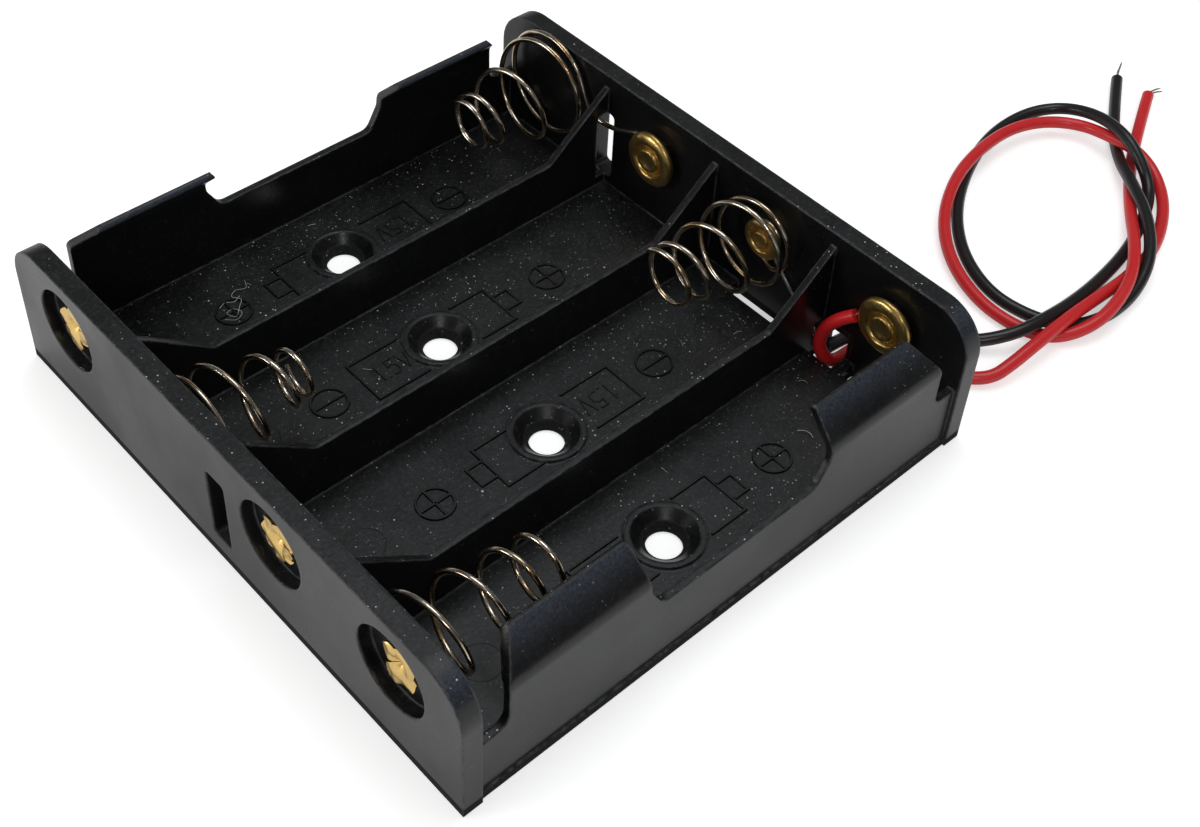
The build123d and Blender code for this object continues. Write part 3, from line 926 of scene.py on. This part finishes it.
@dataclass
class ContactSpring:
    """Conical wire spring on an end wall, wound right-handed, with its eye or its tail."""

    bay: int
    side: Side
    travel: float
    start_turn: float
    phase: float
    offset: tuple[float, float]
    lean: tuple[float, float]
    turns: Sequence[tuple[float, float, float]]
    wire: float = 0.53
    shank_eye: float = 1.7
    wire_depth: float = 0.27
    wire_sides: int = 14
    cut_end: float = 0.8
    cut_share: float = 0.004
    eye_sweep: float = 250.0
    eye_step: float = 25.0
    hook_start: float = 330.0
    opening: float = 130.0
    opening_turns: Sequence[float] = (32, 64, 98)
    climb_from: float = 32.0
    climb_over: float = 42.0
    step: float = 12.0
    smoothing: Sequence[float] = (-50, -25, 0, 25, 50)

    def free_length(self) -> float:
        """Distance of the tip from the wall."""
        return self.turns[-1][1] + self.wire / 2

    def centre(self) -> float:
        """Y of the spring's axis."""
        return LAYOUT.bay_y(self.bay)

    def round_shank(self, y: float, angles: Iterable[float]) -> list[Vector]:
        """Points of the wire round a rivet's shank, at angles in degrees."""
        reach, height = self.shank_eye, LAYOUT.contact_height
        return [
            LAYOUT.on_wall(
                self.side, y + reach * math.cos(t), height + reach * math.sin(t), self.wire_depth
            )
            for t in (math.radians(angle) for angle in angles)
        ]

    def listed(self, turn: float) -> tuple[float, float]:
        """Depth and radius of the wire on the straight line between two listed turns.

        Args:
            turn: Degrees since the wire first passed the top.

        Returns:
            Depth from the wall and radius.
        """
        turn = min(max(turn, self.turns[0][0]), self.turns[-1][0])
        for (t0, d0, r0), (t1, d1, r1) in zip(self.turns[:-1], self.turns[1:]):
            if turn <= t1:
                break
        share = (turn - t0) / (t1 - t0)
        return d0 + (d1 - d0) * share, r0 + (r1 - r0) * share

    def at(self, turn: float) -> tuple[float, float]:
        """Depth and radius of the wire after a turn in degrees, smoothed over the listed ones."""
        near = [self.listed(turn + shift) for shift in self.smoothing]
        return sum(d for d, _ in near) / len(near), sum(r for _, r in near) / len(near)

    def coil(self) -> list[Vector]:
        """Centre line of the coils.

        Returns:
            Points of the wire from the base to the tip.
        """
        last, deepest = self.turns[-1][0], self.turns[-1][1]
        count = int((last - self.start_turn) // self.step)
        points = []
        for turn in (last - self.step * k for k in range(count, -1, -1)):
            depth, radius = self.at(turn)
            angle = math.radians(90 - self.side.value * (turn + self.phase))
            share = depth / deepest
            y = self.centre() + self.offset[0] + self.lean[0] * share + radius * math.cos(angle)
            z = LAYOUT.contact_height + self.offset[1] + self.lean[1] * share
            points.append(LAYOUT.on_wall(self.side, y, z + radius * math.sin(angle), depth))
        return points

    def eye(self, leave: float) -> list[Vector]:
        """Eye round the bay's own rivet that opens out into the base coil.

        Args:
            leave: Angle in degrees at which the wire leaves the shank.

        Returns:
            Points of the wire.
        """
        side, height = self.side.value, LAYOUT.contact_height
        base_depth, base_radius = self.at(self.turns[0][0])
        sweep = (leave + side * (self.eye_sweep - self.eye_step * k) for k in range(11))
        points = self.round_shank(self.centre(), sweep)
        for turn in self.opening_turns:
            share = turn / self.opening
            radius = self.shank_eye + (base_radius - self.shank_eye) * math.sin(share * math.pi / 2)
            climb = min(1.0, max(0.07, (turn - self.climb_from) / self.climb_over))
            depth = self.wire_depth + (base_depth - self.wire_depth) * climb
            angle = math.radians(leave - side * turn)
            y = self.centre() + self.offset[0] * share + radius * math.cos(angle)
            z = height + self.offset[1] * share + radius * math.sin(angle)
            points.append(LAYOUT.on_wall(self.side, y, z, depth))
        return points

    def hook(self, tail: Iterable[Point]) -> list[Vector]:
        """Eye round the next bay's rivet and the tail that crosses the rib.

        Args:
            tail: Y, Z and depth of the tail's points.

        Returns:
            Points of the wire.
        """
        sweep = (self.hook_start - self.eye_step * k for k in range(10))
        points = self.round_shank(LAYOUT.bay_y(self.bay + 1), sweep)
        return points + [LAYOUT.on_wall(self.side, y, z, depth) for y, z, depth in tail]

    def build(self, lead_in: Sequence[Vector], steel: bpy.types.Material) -> None:
        """Makes the spring.

        Args:
            lead_in: Points of the wire before the coils.
            steel: Finish of the wire.
        """
        draft = Draft()
        half = self.wire / 2
        coil = self.coil()
        path = through(list(lead_in) + coil[:1], 6)[:-1] + through(coil, 2)
        end, rest = self.cut_end, (1 - self.cut_end) / self.cut_share
        draft.tube(path, lambda t: half * min(1.0, end + rest * min(t, 1 - t)), self.wire_sides)
        name = f"spring_{self.bay}"
        made = draft.build(f"{name}_wire", steel, 60)
        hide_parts(name)
        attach(made, f"contact_{name}")
        side, free = self.side.value, self.free_length()
        tip = (side * (LAYOUT.wall - free) * MM, self.centre() * MM, LAYOUT.contact_height * MM)
        keep = 1 - self.travel / free
        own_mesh(made)


TURNS = {
    1: (
        (-90, 0.42, 5.4), (0, 0.46, 5.43), (180, 0.9, 5.42), (360, 1.68, 5.29), (540, 3.9, 4.75),
        (720, 6.39, 3.94), (900, 8.6, 3.2), (1080, 10.37, 2.75), (1440, 11.64, 2.57),
        (1485, 11.7, 2.57),
    ),
    2: (
        (-540, 0.75, 4.5), (-360, 0.95, 4.5), (-180, 1.7, 4.5), (0, 3.31, 4.44), (180, 5.7, 3.8),
        (360, 7.86, 3.01), (540, 9.5, 2.55), (720, 10.45, 2.31), (1005, 11.0, 2.12),
    ),
    3: (
        (-90, 0.9, 3.7), (0, 1.45, 4.3), (90, 1.9, 4.1), (180, 2.3, 4.4), (360, 3.09, 4.47),
        (540, 5.1, 4.1), (720, 7.16, 3.66), (900, 9.1, 3.2), (1080, 10.83, 2.92),
        (1260, 11.8, 2.95), (1440, 12.56, 2.95), (1485, 12.7, 2.95),
    ),
    4: (
        (-120, 0.8, 4.3), (0, 1.44, 4.25), (180, 3.6, 3.95), (360, 6.03, 3.45), (540, 8.1, 3.15),
        (720, 10.2, 2.95), (900, 11.8, 2.7), (1080, 13.0, 2.6), (1230, 13.5, 2.55),
    ),
}
LEVEL_TAIL = (
    (9.625, 11.05, 0.27), (11.625, 10.25, 0.27), (13.65, 9.4, 0.27), (15.25, 9.2, 0.32),
    (16.6, 9.4, 0.36), (17.575, 10.45, 0.42),
)
SLANTED_TAIL = (
    (-5.625, 10.8, 0.27), (-3.425, 9.7, 0.27), (-1.5, 8.4, 0.27), (0.0, 7.45, 0.34),
    (1.8, 6.3, 0.45), (3.2, 5.45, 0.55),
)


def make_springs(steel: bpy.types.Material) -> None:
    """Makes the four springs with their eyes and tails.

    Args:
        steel: Finish of the wire.
    """
    right, left = Side.RIGHT, Side.LEFT
    first = ContactSpring(1, right, 8.8, -52, 0.4, (0.36, 0.37), (-0.14, -0.16), TURNS[1])
    second = ContactSpring(2, left, 8.8, -525, -38.4, (-0.63, -0.66), (-0.25, -0.07), TURNS[2])
    third = ContactSpring(3, right, 10.5, -90, 1.3, (0.26, 0.12), (1.25, 0.74), TURNS[3])
    fourth = ContactSpring(4, left, 10.5, -105, -34.4, (0.46, 0.15), (0.12, -0.66), TURNS[4])
    first.build(first.hook(LEVEL_TAIL), steel)
    second.build(second.hook(SLANTED_TAIL), steel)
    third.build(third.eye(300), steel)
    fourth.build(fourth.eye(180), steel)


# ---- Tray


FIGURE_STROKES = (
    ((0.15, 1.3), (0.45, 1.6), (0.45, 0.0)),
    ((0.95, 0.0), (1.05, 0.02)),
    (
        (2.15, 1.6), (1.45, 1.6), (1.4, 0.95), (1.8, 1.05),
        (2.15, 0.8), (2.15, 0.3), (1.85, 0.0), (1.4, 0.05),
    ),
    ((2.5, 1.6), (2.95, 0.0), (3.4, 1.6)),
)
SILL_BLOCKS = (
    (
        (
            (24.3, -15.5), (24.3, -19.3), (27.4, -19.3),
            (27.4, -18.75), (25.35, -18.75), (25.35, -15.5),
        ),
        0.05,
        LAYOUT.floor - 0.02,
    ),
    (((27.35, -18.75), (27.35, -19.3), (29.1, -19.3), (29.1, -18.75)), 0.05, 4.8),
    (((27.35, -15.5), (27.35, -18.7), (29.1, -18.7), (29.1, -15.5)), 4.1, 4.8),
)


@dataclass
class Tray:
    """The moulded tray: finish of the CAD solid, and the marks moulded in its bay floors."""

    plastic: bpy.types.Material
    relief: bpy.types.Material
    line_width: float = 0.32
    line_height: float = 0.2
    sign_offset: float = 13.0
    sign_radius: float = 1.7
    bar_gap: float = 0.12
    cell_half: float = 2.55
    cell_ends: tuple[float, float] = (-9.2, 6.9)
    nub: tuple[float, float] = (8.7, 1.1)
    screw_gap: tuple[float, float] = (-3.5, 2.8)
    figure_start: float = -7.9
    figure_middle: float = 0.8
    figure_stretch: tuple[float, float] = (1.15, 1.25)
    figure_width: float = 0.22
    figure_height: float = 0.12
    pin_radius: float = 1.8
    pin_width: float = 0.13
    pin_height: float = 0.03
    pin_places: Sequence[tuple[float, float]] = ((20.5, -0.4), (-20.2, 0.4))

    def line(self, draft: Draft, points: Iterable[tuple[float, float]]) -> None:
        """Adds one raised line through points on a bay floor."""
        placed = [LAYOUT.on_floor(x, y) for x, y in points]
        draft.ridge(placed, self.line_width, self.line_height)

    def sign(self, draft: Draft, sign: Sign, x: float, y: float) -> None:
        """Adds a ringed polarity mark.

        Args:
            draft: Mesh that it goes into.
            sign: Which mark.
            x: Place along the bay.
            y: Place across the bays.
        """
        circle = ring(LAYOUT.on_floor(x, y), self.sign_radius, 40)
        draft.ridge(circle, self.line_width, self.line_height, closed=True)
        reach = self.sign_radius - self.bar_gap
        self.line(draft, ((x - reach, y), (x + reach, y)))
        if sign is Sign.PLUS:
            self.line(draft, ((x, y - reach), (x, y + reach)))

    def cell_outline(self, draft: Draft, y: float, way: int) -> None:
        """Adds the outline of a cell, broken where the screw hole's ring is.

        Args:
            draft: Mesh that it goes into.
            y: Centre of the bay.
            way: 1 where the cell's nub points along +X, -1 where it points along -X.
        """
        half, (foot, head), (tip, nub_half) = self.cell_half, self.cell_ends, self.nub
        near, far = self.screw_gap
        for points in (
            ((near, half), (foot, half), (foot, -half), (near, -half)),
            ((far, half), (head, half), (head, -half), (far, -half)),
            ((head, nub_half), (tip, nub_half), (tip, -nub_half), (head, -nub_half)),
        ):
            self.line(draft, ((way * x, y + way * across) for x, across in points))

    def voltage(self, draft: Draft, y: float, way: int) -> None:
        """Adds the plain voltage figure inside the cell outline.

        Args:
            draft: Mesh that it goes into.
            y: Centre of the bay.
            way: 1 where it reads along +X, -1 where it reads along -X.
        """
        start, middle, (wide, tall) = self.figure_start, self.figure_middle, self.figure_stretch
        for stroke in FIGURE_STROKES:
            placed = [
                LAYOUT.on_floor(way * (start + x * wide), y + way * (z - middle) * tall)
                for x, z in stroke
            ]
            draft.ridge(placed, self.figure_width, self.figure_height)

    def pin_mark(self, draft: Draft, x: float, y: float) -> None:
        """Adds the faint ring that an ejector pin leaves."""
        circle = ring(LAYOUT.on_floor(x, y), self.pin_radius, 36)
        draft.ridge(circle, self.pin_width, self.pin_height, closed=True)

    def exit_sill(self) -> None:
        """Narrows the openings in the floor and the wall that the leads leave by."""
        draft = Draft()
        for corners, low, high in SILL_BLOCKS:
            draft.prism(corners, low, high)
        made = draft.build("exit_sill", self.plastic, 30)
        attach(made, BODY)

    def marks(self) -> None:
        """Makes the marks of every bay."""
        for bay in LAYOUT.bays:
            y = LAYOUT.bay_y(bay)
            way = 1 if bay % 2 == 0 else -1
            draft = Draft()
            self.sign(draft, Sign.PLUS, way * self.sign_offset, y)
            self.sign(draft, Sign.MINUS, -way * self.sign_offset, y)
            self.cell_outline(draft, y, way)
            self.voltage(draft, y, way)
            for x, aside in self.pin_places:
                self.pin_mark(draft, x, y + aside)
            made = draft.build(f"floor_marks_{bay}", self.relief, 30)
            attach(made, BODY)

    def build(self) -> None:
        """Dresses the tray and adds its marks."""
        dress("tray", self.plastic)
        self.exit_sill()
        self.marks()


def dress(node: str, material: bpy.types.Material) -> None:
    """Gives a CAD node its finish.

    Args:
        node: Name of the node.
        material: Its finish.
    """
    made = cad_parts[node]
    made.data.materials.clear()
    made.data.materials.append(material)
    log.info("%s dressed", node)


# ---- Rivets


HEAD_PROFILE = (
    (0.90, 0.0), (0.975, 0.10), (1.0, 0.30), (0.985, 0.52), (0.93, 0.70), (0.84, 0.81),
    (0.72, 0.86), (0.62, 0.82), (0.565, 0.64), (0.53, 0.46), (0.495, 0.43), (0.465, 0.56),
    (0.44, 0.80), (0.39, 0.95), (0.30, 0.96), (0.18, 0.86), (0.06, 0.82),
)
PETALS = ((125, 62, 2.3), (25, 52, 2.05), (285, 55, 2.5), (205, 44, 2.1))


@dataclass
class Rivet:
    """Hollow rivet: ringed head inside the bay, tail split and folded down outside."""

    side: Side
    bay: int
    head_radius: float
    head_height: float
    seed: int
    stand_off: float = 0.54
    web: float = 0.6
    shank: float = 1.35
    bore: float = 0.9
    root: float = 0.3
    sway: float = 0.022
    dent: float = 0.045
    rim_from: float = 1.6
    face_from: float = 0.7
    sheet: float = 0.30
    petal_lift: float = 0.62
    petal_tip: float = 0.72
    petal_rows: int = 12
    petal_columns: int = 14
    right_turn: float = 40.0
    segments: int = 72
    tube_segments: int = 40

    def place(self, radius: float, turn: float, depth: float) -> Vector:
        """Point by its distance from the axis, its turn and its depth into the bay."""
        y = LAYOUT.bay_y(self.bay) + radius * math.cos(turn)
        return LAYOUT.on_wall(self.side, y, LAYOUT.contact_height + radius * math.sin(turn), depth)

    def profile(self) -> list[tuple[float, float]]:
        """Half section of the head, from the shank out over the ring to the middle.

        Returns:
            Distances from the axis and depths.
        """
        reach, rise, base = self.head_radius, self.head_height, self.stand_off
        outline = [Vector((reach * out, base + rise * up, 0)) for out, up in HEAD_PROFILE]
        neck = [(self.shank, -self.web), (self.shank, base - 0.01)]
        return neck + [(point.x, point.y) for point in through(outline, 3)]

    def facing_out(self, rows: list[list[Vector]], turned: Side) -> list[list[Vector]]:
        """Closed rings, turned round on one of the two walls so that their faces look outwards."""
        return [list(reversed(row)) for row in rows] if self.side is turned else rows

    def head(self, draft: Draft) -> None:
        """Adds the head, with the slight unevenness of a pressed one.

        Args:
            draft: Mesh that it goes into.
        """
        rows = []
        for radius, depth in self.profile():
            row = []
            for k in range(self.segments):
                turn = math.tau * k / self.segments
                across, along = math.cos(turn) * 1.3, math.sin(turn) * 1.3
                seat = Vector((across, along, self.seed * 3.7 + radius * 0.6))
                sway = noise.noise(seat) * self.sway * self.head_radius
                dent = noise.noise(seat * 2.3) * self.dent * min(1.0, radius)
                reach = radius + (sway if radius > self.rim_from else 0)
                row.append(self.place(reach, turn, depth + (dent if depth > self.face_from else 0)))
            rows.append(row)
        start = len(draft.points)
        draft.grid(self.facing_out(rows, Side.LEFT), wrap=True)
        draft.cap(start + (len(rows) - 1) * self.segments, self.segments)

    def petal(
        self, draft: Draft, middle: float, spread: float, reach: float, curl: float
    ) -> None:
        """Adds one folded petal of the tail, as a closed curved plate.

        Args:
            draft: Mesh that it goes into.
            middle: Direction of the petal in degrees.
            spread: Half its width in degrees, at the shank.
            reach: Distance of its tip from the axis.
            curl: How far the tip bends back to the wall.
        """
        rng = random.Random(self.seed * 17 + int(middle))
        rows, columns = self.petal_rows, self.petal_columns
        plate = []
        for t in (i / rows for i in range(rows + 1)):
            radius = self.root + (reach - self.root) * t
            crest = math.sin(min(1.0, t * 1.45) * math.pi * 0.62)
            out = self.web + 0.12 + self.petal_lift * crest * (1 - 0.35 * curl * t)
            past = max(0.0, t - self.petal_tip) / (1 - self.petal_tip)
            narrow = 1 - 0.55 * past * (0.6 + 0.4 * curl)
            width = math.radians(spread) * narrow * min(1.0, self.bore / radius) ** 0.2
            upper, lower = [], []
            for s in (2 * j / columns - 1 for j in range(columns + 1)):
                turn = math.radians(middle) + s * width
                fold = 0.09 * math.cos(s * 2.6 + self.seed) * t
                ripple = noise.noise(Vector((s * 1.7, t * 2.1, self.seed + middle))) * 0.12 * t
                rim = radius * (1 + 0.05 * t * math.sin(s * 3 + middle + rng.random() * 0.1))
                face = out + fold + ripple
                upper.append(self.place(rim, turn, -face))
                lower.append(self.place(rim, turn, self.sheet - 0.08 * t - face))
            plate.append(upper + list(reversed(lower)))
        start = len(draft.points)
        draft.grid(self.facing_out(plate, Side.RIGHT), wrap=True)
        count = 2 * (columns + 1)
        draft.cap(start, count, flip=True)
        draft.cap(start + rows * count, count)

    def tail(self, draft: Draft) -> None:
        """Adds the short tube in the wall and the petals folded out of it.

        Args:
            draft: Mesh that it goes into.
        """
        section = (
            (self.shank, -self.web + 0.05),
            (self.shank, -self.web - 0.30),
            (self.shank - 0.1, -self.web - 0.42),
            (self.bore + 0.05, -self.web - 0.42),
            (self.bore, -self.web - 0.30),
            (self.bore, 0.2),
            (0.05, 0.25),
        )
        turns = [math.tau * k / self.tube_segments for k in range(self.tube_segments)]
        rows = [[self.place(radius, turn, depth) for turn in turns] for radius, depth in section]
        draft.grid(self.facing_out(rows, Side.RIGHT), wrap=True)
        rng = random.Random(self.seed)
        lean = 0 if self.side is Side.LEFT else self.right_turn
        for middle, spread, reach in PETALS:
            wander = rng.uniform(-9, 9) + lean
            longer = rng.uniform(-0.15, 0.12)
            self.petal(draft, middle + wander, spread, reach + longer, rng.uniform(0.5, 1.0))

    def build(self, brass: bpy.types.Material) -> None:
        """Makes the rivet.

        Args:
            brass: Its finish.
        """
        draft = Draft()
        self.head(draft)
        self.tail(draft)
        node = f"rivet_{self.side.name.lower()}_{self.bay}"
        made = draft.build(f"{node}_pressed", brass, 50)
        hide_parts(node)
        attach(made, BODY)


def make_rivets(brass: bpy.types.Material) -> None:
    """Makes the six rivets.

    Args:
        brass: Their finish.
    """
    left, right = (2.75, 0.8), (3.0, 1.0)
    small = (2.15, 0.8)
    for seed, (side, bay, head) in enumerate(
        (
            (Side.LEFT, 1, left),
            (Side.LEFT, 3, left),
            (Side.RIGHT, 2, right),
            (Side.RIGHT, 4, right),
            (Side.LEFT, 4, small),
            (Side.RIGHT, 3, small),
        ),
        start=1,
    ):
        Rivet(side, bay, *head, seed).build(brass)


# ---- Dust


LINT_CURLS = (
    (
        (-14.3, 22.3), (-13.4, 21.7), (-12.5, 22.2), (-12.9, 23.1),
        (-13.7, 22.9), (-13.2, 22.1), (-12.3, 22.9),
    ),
    ((-12.3, 22.9), (-11.6, 23.7), (-12.1, 24.5), (-11.3, 25.1), (-10.4, 24.7), (-9.9, 25.6)),
    ((-13.9, 23.9), (-13.0, 24.3), (-12.3, 23.8), (-11.4, 24.2)),
    ((16.9, -22.2), (17.4, -22.6), (17.6, -23.2), (17.4, -23.7)),
)


@dataclass
class Lint:
    """Loose flakes and fibres on the bay floors."""

    seed: int = 11
    flakes: int = 3600
    flake_size: float = 0.028
    flake_growth: float = 0.07
    flake_height: float = 0.7
    fibres: int = 16
    fibre_radius: float = 0.022
    fibre_segment: float = 0.25
    curl_radius: float = 0.024
    half_length: float = 26.5
    half_width: float = 6.9
    hole_x: float = -0.3
    hole_clearance: float = 3.8
    exit_x: float = 24.0
    exit_y: tuple[float, float] = (-19.5, -15.5)
    patch: float = 0.13

    def flake(self, draft: Draft, place: Vector, size: float, rng: random.Random) -> None:
        """Adds one flake, a small uneven pyramid.

        Args:
            draft: Mesh that it goes into.
            place: Where it lies.
            size: How wide it is.
            rng: Source of its unevenness.
        """
        first = len(draft.points)
        turn = rng.random() * math.tau
        for k in range(3):
            reach = size * rng.uniform(0.5, 1.0)
            angle = turn + k * math.tau / 3
            corner = Vector((math.cos(angle) * reach, math.sin(angle) * reach, 0.0))
            draft.points.append(place + corner)
        draft.points.append(place + Vector((0, 0, size * self.flake_height)))
        for a, b in ((0, 1), (1, 2), (2, 0)):
            draft.faces.append((first + a, first + b, first + 3))
        draft.faces.append((first + 2, first + 1, first))

    def fibre(self, draft: Draft, place: Vector, length: float, rng: random.Random) -> None:
        """Adds one curled fibre.

        Args:
            draft: Mesh that it goes into.
            place: Where it starts.
            length: How long it is.
            rng: Source of its curl.
        """
        heading = rng.random() * math.tau
        points = [place]
        count = max(4, int(length / self.fibre_segment))
        swing = rng.uniform(-1, 1)
        for k in range(count):
            swing += rng.uniform(-1, 1) * 0.7
            heading += swing * 0.35
            ahead = Vector((math.cos(heading), math.sin(heading), 0)) * (length / count)
            spot = points[-1] + ahead
            points.append(LAYOUT.on_floor(spot.x, spot.y, 0.05 + 0.05 * math.sin(k)))
        draft.tube(through(points, 2), self.fibre_radius, 5)

    def spot(self, rng: random.Random) -> Vector:
        """Random place on a bay floor, clear of the screw holes and the leads' opening.

        Args:
            rng: Source of the place.

        Returns:
            Point on the floor.
        """
        while True:
            middle = LAYOUT.bay_y(rng.randint(1, 4))
            x = rng.uniform(-self.half_length, self.half_length)
            y = middle + rng.uniform(-self.half_width, self.half_width)
            past_hole = math.hypot(x - self.hole_x, y - middle) > self.hole_clearance
            over_exit = x > self.exit_x and self.exit_y[0] < y < self.exit_y[1]
            crowd = noise.noise(Vector((x * self.patch, y * self.patch, 4.0)))
            if past_hole and not over_exit and crowd > rng.uniform(-0.6, 0.35):
                return LAYOUT.on_floor(x, y)

    def build(self, dust: bpy.types.Material) -> None:
        """Scatters the flakes and fibres.

        Args:
            dust: Their finish.
        """
        rng = random.Random(self.seed)
        flakes, fibres = Draft(), Draft()
        for _ in range(self.flakes):
            place = self.spot(rng)
            size = self.flake_size + self.flake_growth * rng.random() ** 3
            self.flake(flakes, place, size, rng)
        for _ in range(self.fibres):
            place = self.spot(rng) + Vector((0, 0, 0.03))
            self.fibre(fibres, place, rng.uniform(0.3, 1.0), rng)
        for curl in LINT_CURLS:
            points = [LAYOUT.on_floor(x, y, 0.22 + 0.06 * math.sin(3 * x)) for x, y in curl]
            fibres.tube(through(points, 8), self.curl_radius, 6)
        for name, draft in (("dust_flakes", flakes), ("dust_fibres", fibres)):
            made = draft.build(name, dust, 20)
            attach(made, BODY)


def main() -> None:
    """Builds the scene piece by piece."""
    logging.basicConfig(level=logging.INFO, format="%(message)s")
    Studio().build()
    tin = TinnedWire().material()
    make_leads(tin)
    make_springs(SpringSteel().material())
    make_rivets(Brass().material())
    relief = TrayPlastic("tray_relief", edge_radius=0.04 * MM, haze=0.0, specked=0.25)
    Tray(TrayPlastic().material(), relief.material()).build()
    for node in ("link_wire", "black_strands"):
        dress(node, tin)
    Lint().build(Dust().material())


if __name__ == "__main__":
    main()
